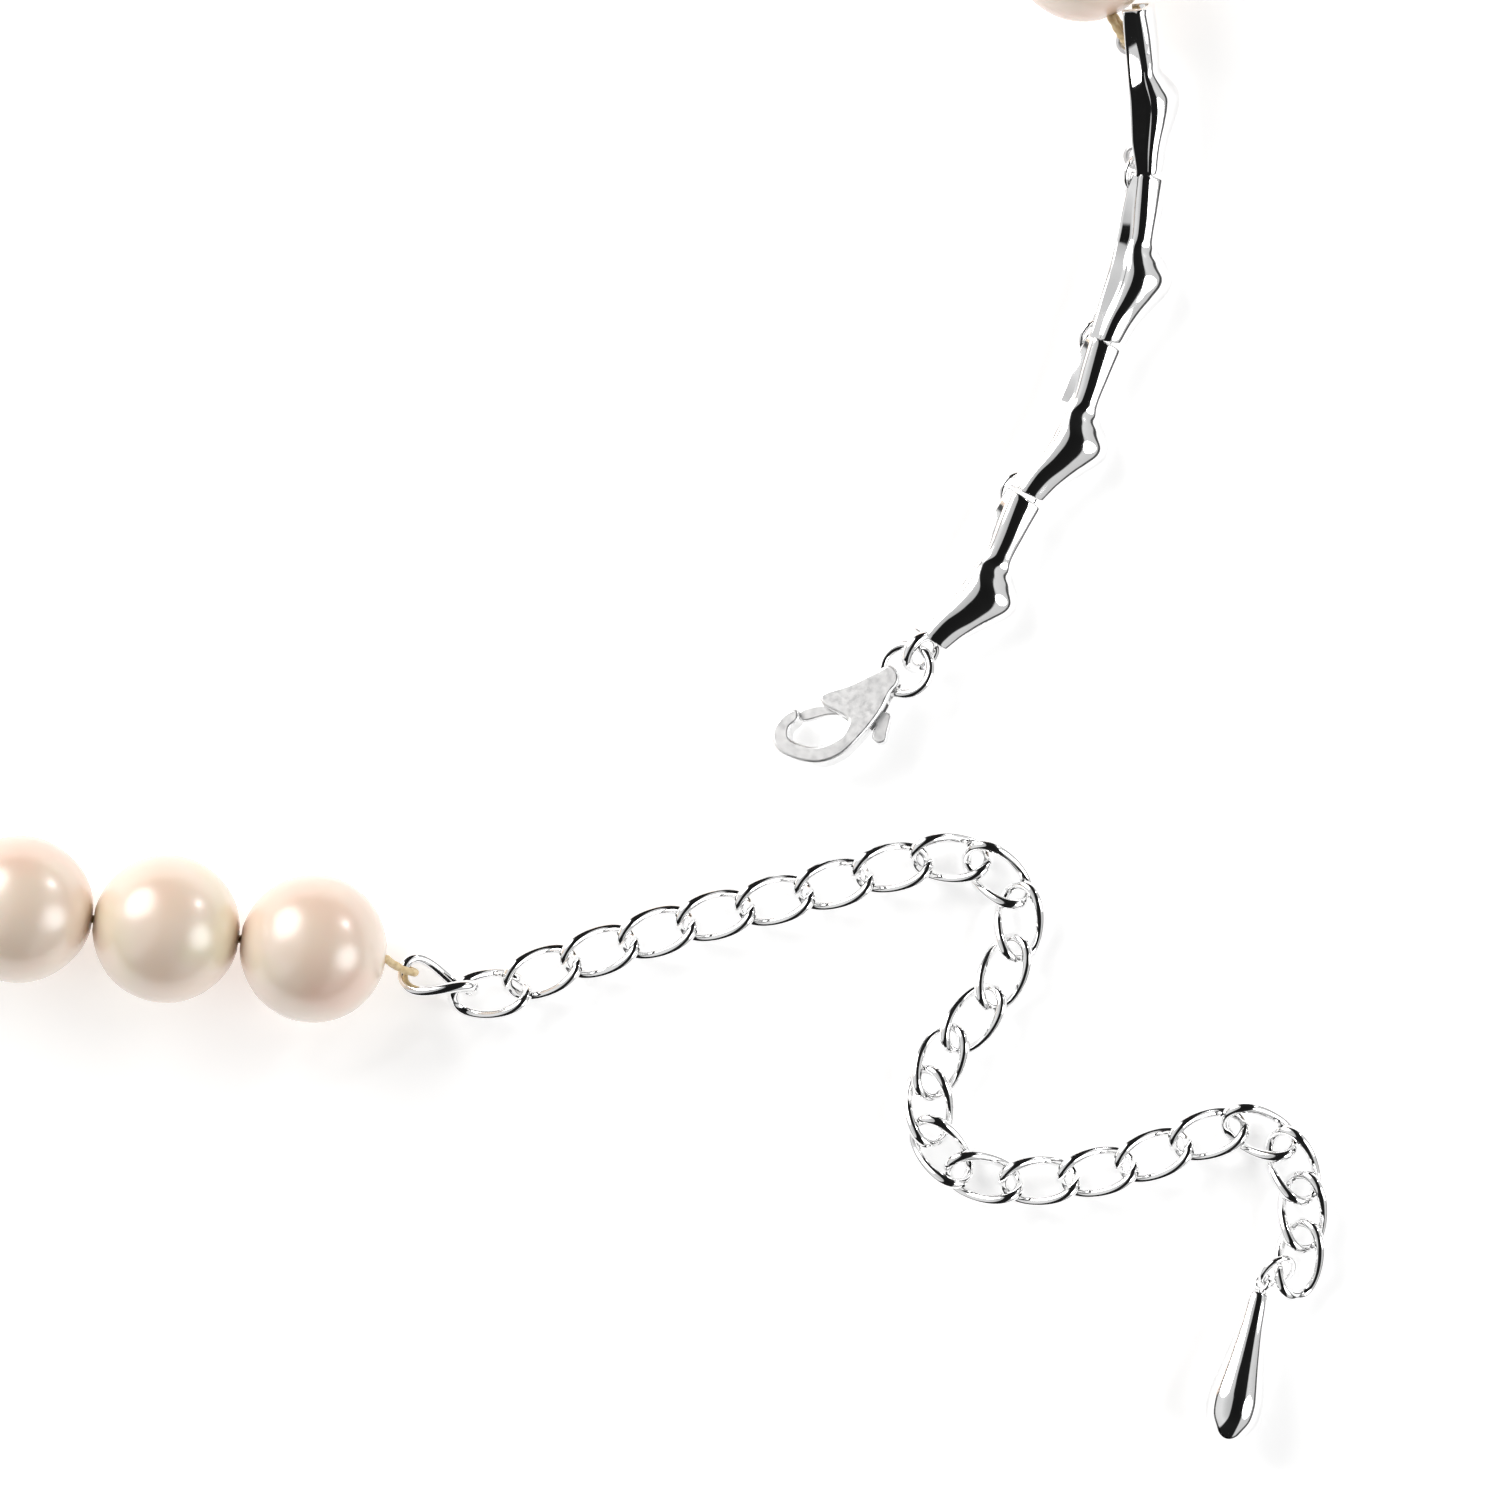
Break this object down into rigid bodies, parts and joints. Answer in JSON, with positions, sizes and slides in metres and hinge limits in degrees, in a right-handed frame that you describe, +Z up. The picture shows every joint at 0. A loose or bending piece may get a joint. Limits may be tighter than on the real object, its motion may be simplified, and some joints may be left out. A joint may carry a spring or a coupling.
{
  "type": "necklace",
  "caption": "Choker of round beads on a thread, with folded metal bar links, a lobster clasp and a curb extender chain that ends in a teardrop.",
  "frame": {"origin": "middle of the footprint, on the surface that the necklace lies on", "axes": "+Z up, +Y from the teardrop end towards the far side of the loop, +X to the right of the open end seen from above"},
  "size_m": [0.144, 0.1782, 0.0092],
  "materials": {
    "pearl": "ivory nacre with a soft lustre",
    "silver": "mirror-polished white silver",
    "gimp": "golden twisted thread cover"
  },
  "bodies": {
    "pearl_01": {"pearl_01": "pearl", "thread_loop_chain": "gimp"},
    "pearl_02": {"pearl_02": "pearl"},
    "pearl_03": {"pearl_03": "pearl"},
    "pearls_04_06": {"pearls_04_06": "pearl"},
    "pearls_07_09": {"pearls_07_09": "pearl"},
    "pearls_10_12": {"pearls_10_12": "pearl"},
    "pearls_13_15": {"pearls_13_15": "pearl"},
    "pearls_16_18": {"pearls_16_18": "pearl"},
    "pearls_19_21": {"pearls_19_21": "pearl"},
    "pearls_22_24": {"pearls_22_24": "pearl"},
    "pearls_25_27": {"pearls_25_27": "pearl"},
    "pearls_28_30": {"pearls_28_30": "pearl"},
    "pearls_31_33": {"pearls_31_33": "pearl"},
    "pearls_34_36": {"pearls_34_36": "pearl"},
    "pearl_37": {"pearl_37": "pearl", "thread_loop_bar": "gimp"},
    "chain_link_01": {"chain_link_01": "silver"},
    "chain_link_02": {"chain_link_02": "silver"},
    "chain_link_03": {"chain_link_03": "silver"},
    "chain_link_04": {"chain_link_04": "silver"},
    "chain_link_05": {"chain_link_05": "silver"},
    "chain_link_06": {"chain_link_06": "silver"},
    "chain_link_07": {"chain_link_07": "silver"},
    "chain_link_08": {"chain_link_08": "silver"},
    "chain_link_09": {"chain_link_09": "silver"},
    "chain_link_10": {"chain_link_10": "silver"},
    "chain_link_11": {"chain_link_11": "silver"},
    "chain_link_12": {"chain_link_12": "silver"},
    "chain_link_13": {"chain_link_13": "silver"},
    "chain_link_14": {"chain_link_14": "silver"},
    "chain_link_15": {"chain_link_15": "silver"},
    "chain_link_16": {"chain_link_16": "silver"},
    "chain_link_17": {"chain_link_17": "silver"},
    "chain_link_18": {"chain_link_18": "silver"},
    "chain_link_19": {"chain_link_19": "silver"},
    "chain_link_20": {"chain_link_20": "silver"},
    "chain_link_21": {"chain_link_21": "silver"},
    "chain_link_22": {"chain_link_22": "silver"},
    "chain_link_23": {"chain_link_23": "silver"},
    "chain_link_24": {"chain_link_24": "silver"},
    "chain_link_25": {"chain_link_25": "silver"},
    "chain_link_26": {"chain_link_26": "silver"},
    "end_ring": {"end_ring": "silver"},
    "drop_pendant": {"drop_pendant": "silver"},
    "bar_link_1": {"bar_link_1": "silver"},
    "bar_ring_1": {"bar_ring_1": "silver"},
    "bar_link_2": {"bar_link_2": "silver"},
    "bar_ring_2": {"bar_ring_2": "silver"},
    "bar_link_3": {"bar_link_3": "silver"},
    "bar_ring_3": {"bar_ring_3": "silver"},
    "bar_link_4": {"bar_link_4": "silver"},
    "clasp_ring": {"clasp_ring": "silver"},
    "clasp_body": {"clasp_body": "silver", "clasp_pin": "silver", "clasp_spring": "silver"},
    "clasp_trigger": {"clasp_trigger": "silver"}
  },
  "joints": [
    {"name": "pearls_16_18_bend", "type": "hinge", "parent": "pearls_19_21", "child": "pearls_16_18", "pos_m": [-0.06168, 0.05236, 0.0046], "axis": [0, 0, 1], "range_deg": [-20, 2.5]},
    {"name": "pearls_13_15_bend", "type": "hinge", "parent": "pearls_16_18", "child": "pearls_13_15", "pos_m": [-0.06755, 0.02537, 0.0046], "axis": [0, 0, -1], "range_deg": [-2.5, 20]},
    {"name": "pearls_10_12_bend", "type": "hinge", "parent": "pearls_13_15", "child": "pearls_10_12", "pos_m": [-0.06539, -0.00222, 0.0046], "axis": [0, 0, -1], "range_deg": [-2.5, 20]},
    {"name": "pearls_07_09_bend", "type": "hinge", "parent": "pearls_10_12", "child": "pearls_07_09", "pos_m": [-0.05566, -0.02803, 0.0046], "axis": [0, 0, 1], "range_deg": [-20, 3]},
    {"name": "pearls_04_06_bend", "type": "hinge", "parent": "pearls_07_09", "child": "pearls_04_06", "pos_m": [-0.03591, -0.04717, 0.0046], "axis": [0, 0, 1], "range_deg": [-20, 3]},
    {"name": "pearl_03_bend", "type": "hinge", "parent": "pearls_04_06", "child": "pearl_03", "pos_m": [-0.00971, -0.0556, 0.0046], "axis": [0, 0, -1], "range_deg": [-4, 20]},
    {"name": "pearl_02_bend", "type": "hinge", "parent": "pearl_03", "child": "pearl_02", "pos_m": [-0.00054, -0.05684, 0.0046], "axis": [0, 0, -1], "range_deg": [-4, 20]},
    {"name": "pearl_01_bend", "type": "hinge", "parent": "pearl_02", "child": "pearl_01", "pos_m": [0.00862, -0.05807, 0.0046], "axis": [0, 0, 1], "range_deg": [-20, 6]},
    {"name": "chain_link_01_turn", "type": "hinge", "parent": "pearl_01", "child": "chain_link_01", "pos_m": [0.01414, -0.05946, 0.00221], "axis": [0, 0, 1], "range_deg": [-20, 8]},
    {"name": "chain_link_02_turn", "type": "hinge", "parent": "chain_link_01", "child": "chain_link_02", "pos_m": [0.01797, -0.06049, 0.00145], "axis": [0, 0, -1], "range_deg": [-8, 15]},
    {"name": "chain_link_03_turn", "type": "hinge", "parent": "chain_link_02", "child": "chain_link_03", "pos_m": [0.0212, -0.06025, 0.00097], "axis": [0, 0, -1], "range_deg": [-5, 20]},
    {"name": "chain_link_04_turn", "type": "hinge", "parent": "chain_link_03", "child": "chain_link_04", "pos_m": [0.02462, -0.05892, 0.00097], "axis": [0, 0, 1], "range_deg": [-20, 10]},
    {"name": "chain_link_05_turn", "type": "hinge", "parent": "chain_link_04", "child": "chain_link_05", "pos_m": [0.02822, -0.05767, 0.00097], "axis": [0, 0, 1], "range_deg": [-20, 12]},
    {"name": "chain_link_06_turn", "type": "hinge", "parent": "chain_link_05", "child": "chain_link_06", "pos_m": [0.03185, -0.05655, 0.00097], "axis": [0, 0, -1], "range_deg": [-15, 20]},
    {"name": "chain_link_07_turn", "type": "hinge", "parent": "chain_link_06", "child": "chain_link_07", "pos_m": [0.03552, -0.05555, 0.00097], "axis": [0, 0, -1], "range_deg": [-20, 20]},
    {"name": "chain_link_08_turn", "type": "hinge", "parent": "chain_link_07", "child": "chain_link_08", "pos_m": [0.03922, -0.05457, 0.00097], "axis": [0, 0, 1], "range_deg": [-20, 20]},
    {"name": "chain_link_09_turn", "type": "hinge", "parent": "chain_link_08", "child": "chain_link_09", "pos_m": [0.0429, -0.05355, 0.00097], "axis": [0, 0, 1], "range_deg": [-20, 20]},
    {"name": "chain_link_10_turn", "type": "hinge", "parent": "chain_link_09", "child": "chain_link_10", "pos_m": [0.04655, -0.05272, 0.00097], "axis": [0, 0, -1], "range_deg": [-20, 12]},
    {"name": "chain_link_11_turn", "type": "hinge", "parent": "chain_link_10", "child": "chain_link_11", "pos_m": [0.04985, -0.05295, 0.00097], "axis": [0, 0, -1], "range_deg": [-20, 15]},
    {"name": "chain_link_12_turn", "type": "hinge", "parent": "chain_link_11", "child": "chain_link_12", "pos_m": [0.052, -0.05495, 0.00097], "axis": [0, 0, 1], "range_deg": [-8, 20]},
    {"name": "chain_link_13_turn", "type": "hinge", "parent": "chain_link_12", "child": "chain_link_13", "pos_m": [0.05217, -0.05802, 0.00097], "axis": [0, 0, 1], "range_deg": [-20, 20]},
    {"name": "chain_link_14_turn", "type": "hinge", "parent": "chain_link_13", "child": "chain_link_14", "pos_m": [0.05072, -0.06107, 0.00097], "axis": [0, 0, -1], "range_deg": [-20, 20]},
    {"name": "chain_link_15_turn", "type": "hinge", "parent": "chain_link_14", "child": "chain_link_15", "pos_m": [0.04875, -0.06385, 0.00097], "axis": [0, 0, -1], "range_deg": [-15, 20]},
    {"name": "chain_link_16_turn", "type": "hinge", "parent": "chain_link_15", "child": "chain_link_16", "pos_m": [0.04737, -0.06657, 0.00097], "axis": [0, 0, 1], "range_deg": [-20, 12]},
    {"name": "chain_link_17_turn", "type": "hinge", "parent": "chain_link_16", "child": "chain_link_17", "pos_m": [0.04742, -0.06937, 0.00097], "axis": [0, 0, 1], "range_deg": [-20, 8]},
    {"name": "chain_link_18_turn", "type": "hinge", "parent": "chain_link_17", "child": "chain_link_18", "pos_m": [0.04912, -0.0716, 0.00097], "axis": [0, 0, -1], "range_deg": [-20, 20]},
    {"name": "chain_link_19_turn", "type": "hinge", "parent": "chain_link_18", "child": "chain_link_19", "pos_m": [0.05217, -0.07252, 0.00097], "axis": [0, 0, -1], "range_deg": [-20, 20]},
    {"name": "chain_link_20_turn", "type": "hinge", "parent": "chain_link_19", "child": "chain_link_20", "pos_m": [0.05575, -0.07235, 0.00097], "axis": [0, 0, 1], "range_deg": [-20, 20]},
    {"name": "chain_link_21_turn", "type": "hinge", "parent": "chain_link_20", "child": "chain_link_21", "pos_m": [0.05932, -0.07155, 0.00097], "axis": [0, 0, 1], "range_deg": [-20, 20]},
    {"name": "chain_link_22_turn", "type": "hinge", "parent": "chain_link_21", "child": "chain_link_22", "pos_m": [0.0628, -0.07037, 0.00097], "axis": [0, 0, -1], "range_deg": [-20, 20]},
    {"name": "chain_link_23_turn", "type": "hinge", "parent": "chain_link_22", "child": "chain_link_23", "pos_m": [0.06612, -0.06965, 0.00097], "axis": [0, 0, -1], "range_deg": [-20, 1]},
    {"name": "chain_link_24_turn", "type": "hinge", "parent": "chain_link_23", "child": "chain_link_24", "pos_m": [0.06877, -0.07062, 0.00097], "axis": [0, 0, 1], "range_deg": [-20, 20]},
    {"name": "chain_link_25_turn", "type": "hinge", "parent": "chain_link_24", "child": "chain_link_25", "pos_m": [0.07012, -0.07312, 0.00097], "axis": [0, 0, 1], "range_deg": [-20, 20]},
    {"name": "chain_link_26_turn", "type": "hinge", "parent": "chain_link_25", "child": "chain_link_26", "pos_m": [0.0703, -0.07607, 0.00097], "axis": [0, 0, -1], "range_deg": [-20, 20]},
    {"name": "end_ring_turn", "type": "hinge", "parent": "chain_link_26", "child": "end_ring", "pos_m": [0.06974, -0.07768, 0.00135], "axis": [0, 0, -1], "range_deg": [-12, 20]},
    {"name": "drop_pendant_turn", "type": "hinge", "parent": "end_ring", "child": "drop_pendant", "pos_m": [0.06787, -0.07897, 0.00125], "axis": [0, 0, 1], "range_deg": [-20, 20]},
    {"name": "pearls_22_24_bend", "type": "hinge", "parent": "pearls_19_21", "child": "pearls_22_24", "pos_m": [-0.03806, 0.07987, 0.0046], "axis": [0, 0, 1], "range_deg": [-5, 20]},
    {"name": "pearls_25_27_bend", "type": "hinge", "parent": "pearls_22_24", "child": "pearls_25_27", "pos_m": [-0.01114, 0.08438, 0.0046], "axis": [0, 0, -1], "range_deg": [-20, 5]},
    {"name": "pearls_28_30_bend", "type": "hinge", "parent": "pearls_25_27", "child": "pearls_28_30", "pos_m": [0.01432, 0.07398, 0.0046], "axis": [0, 0, -1], "range_deg": [-20, 8]},
    {"name": "pearls_31_33_bend", "type": "hinge", "parent": "pearls_28_30", "child": "pearls_31_33", "pos_m": [0.03411, 0.05469, 0.0046], "axis": [0, 0, 1], "range_deg": [-8, 20]},
    {"name": "pearls_34_36_bend", "type": "hinge", "parent": "pearls_31_33", "child": "pearls_34_36", "pos_m": [0.04774, 0.03061, 0.0046], "axis": [0, 0, 1], "range_deg": [-10, 20]},
    {"name": "pearl_37_bend", "type": "hinge", "parent": "pearls_34_36", "child": "pearl_37", "pos_m": [0.05662, 0.00433, 0.0046], "axis": [0, 0, -1], "range_deg": [-20, 12]},
    {"name": "bar_link_1_turn", "type": "hinge", "parent": "pearl_37", "child": "bar_link_1", "pos_m": [0.0594, -0.00168, 0.005], "axis": [0, 0, -1], "range_deg": [-2, 15]},
    {"name": "bar_ring_1_turn", "type": "hinge", "parent": "bar_link_1", "child": "bar_ring_1", "pos_m": [0.05992, -0.00874, 0.003], "axis": [0, 0, 1], "range_deg": [-15, 2]},
    {"name": "bar_link_2_turn", "type": "hinge", "parent": "bar_ring_1", "child": "bar_link_2", "pos_m": [0.05986, -0.01065, 0.00195], "axis": [0, 0, 1], "range_deg": [-3, 4]},
    {"name": "bar_ring_2_turn", "type": "hinge", "parent": "bar_link_2", "child": "bar_ring_2", "pos_m": [0.0578, -0.01888, 0.0014], "axis": [0, 0, -1], "range_deg": [-3, 12]},
    {"name": "bar_link_3_turn", "type": "hinge", "parent": "bar_ring_2", "child": "bar_link_3", "pos_m": [0.05705, -0.0209, 0.00096], "axis": [0, 0, -1], "range_deg": [-4, 8]},
    {"name": "bar_ring_3_turn", "type": "hinge", "parent": "bar_link_3", "child": "bar_ring_3", "pos_m": [0.05319, -0.02848, 0.00096], "axis": [0, 0, 1], "range_deg": [-8, 8]},
    {"name": "bar_link_4_turn", "type": "hinge", "parent": "bar_ring_3", "child": "bar_link_4", "pos_m": [0.05196, -0.03052, 0.00096], "axis": [0, 0, 1], "range_deg": [-5, 5]},
    {"name": "clasp_ring_turn", "type": "hinge", "parent": "bar_link_4", "child": "clasp_ring", "pos_m": [0.04619, -0.03992, 0.00147], "axis": [0, 0, -1], "range_deg": [-20, 20]},
    {"name": "clasp_body_turn", "type": "hinge", "parent": "clasp_ring", "child": "clasp_body", "pos_m": [0.04437, -0.04164, 0.0015], "axis": [0, 0, -1], "range_deg": [-5, 20]},
    {"name": "clasp_trigger_press", "type": "hinge", "parent": "clasp_body", "child": "clasp_trigger", "pos_m": [0.04224, -0.04289, 0.00143], "axis": [-0.1361, 0.1791, 0.9744], "range_deg": [0, 18], "stiffness_Nm_per_rad": 0.02, "deforming": ["clasp_spring"]}
  ]
}
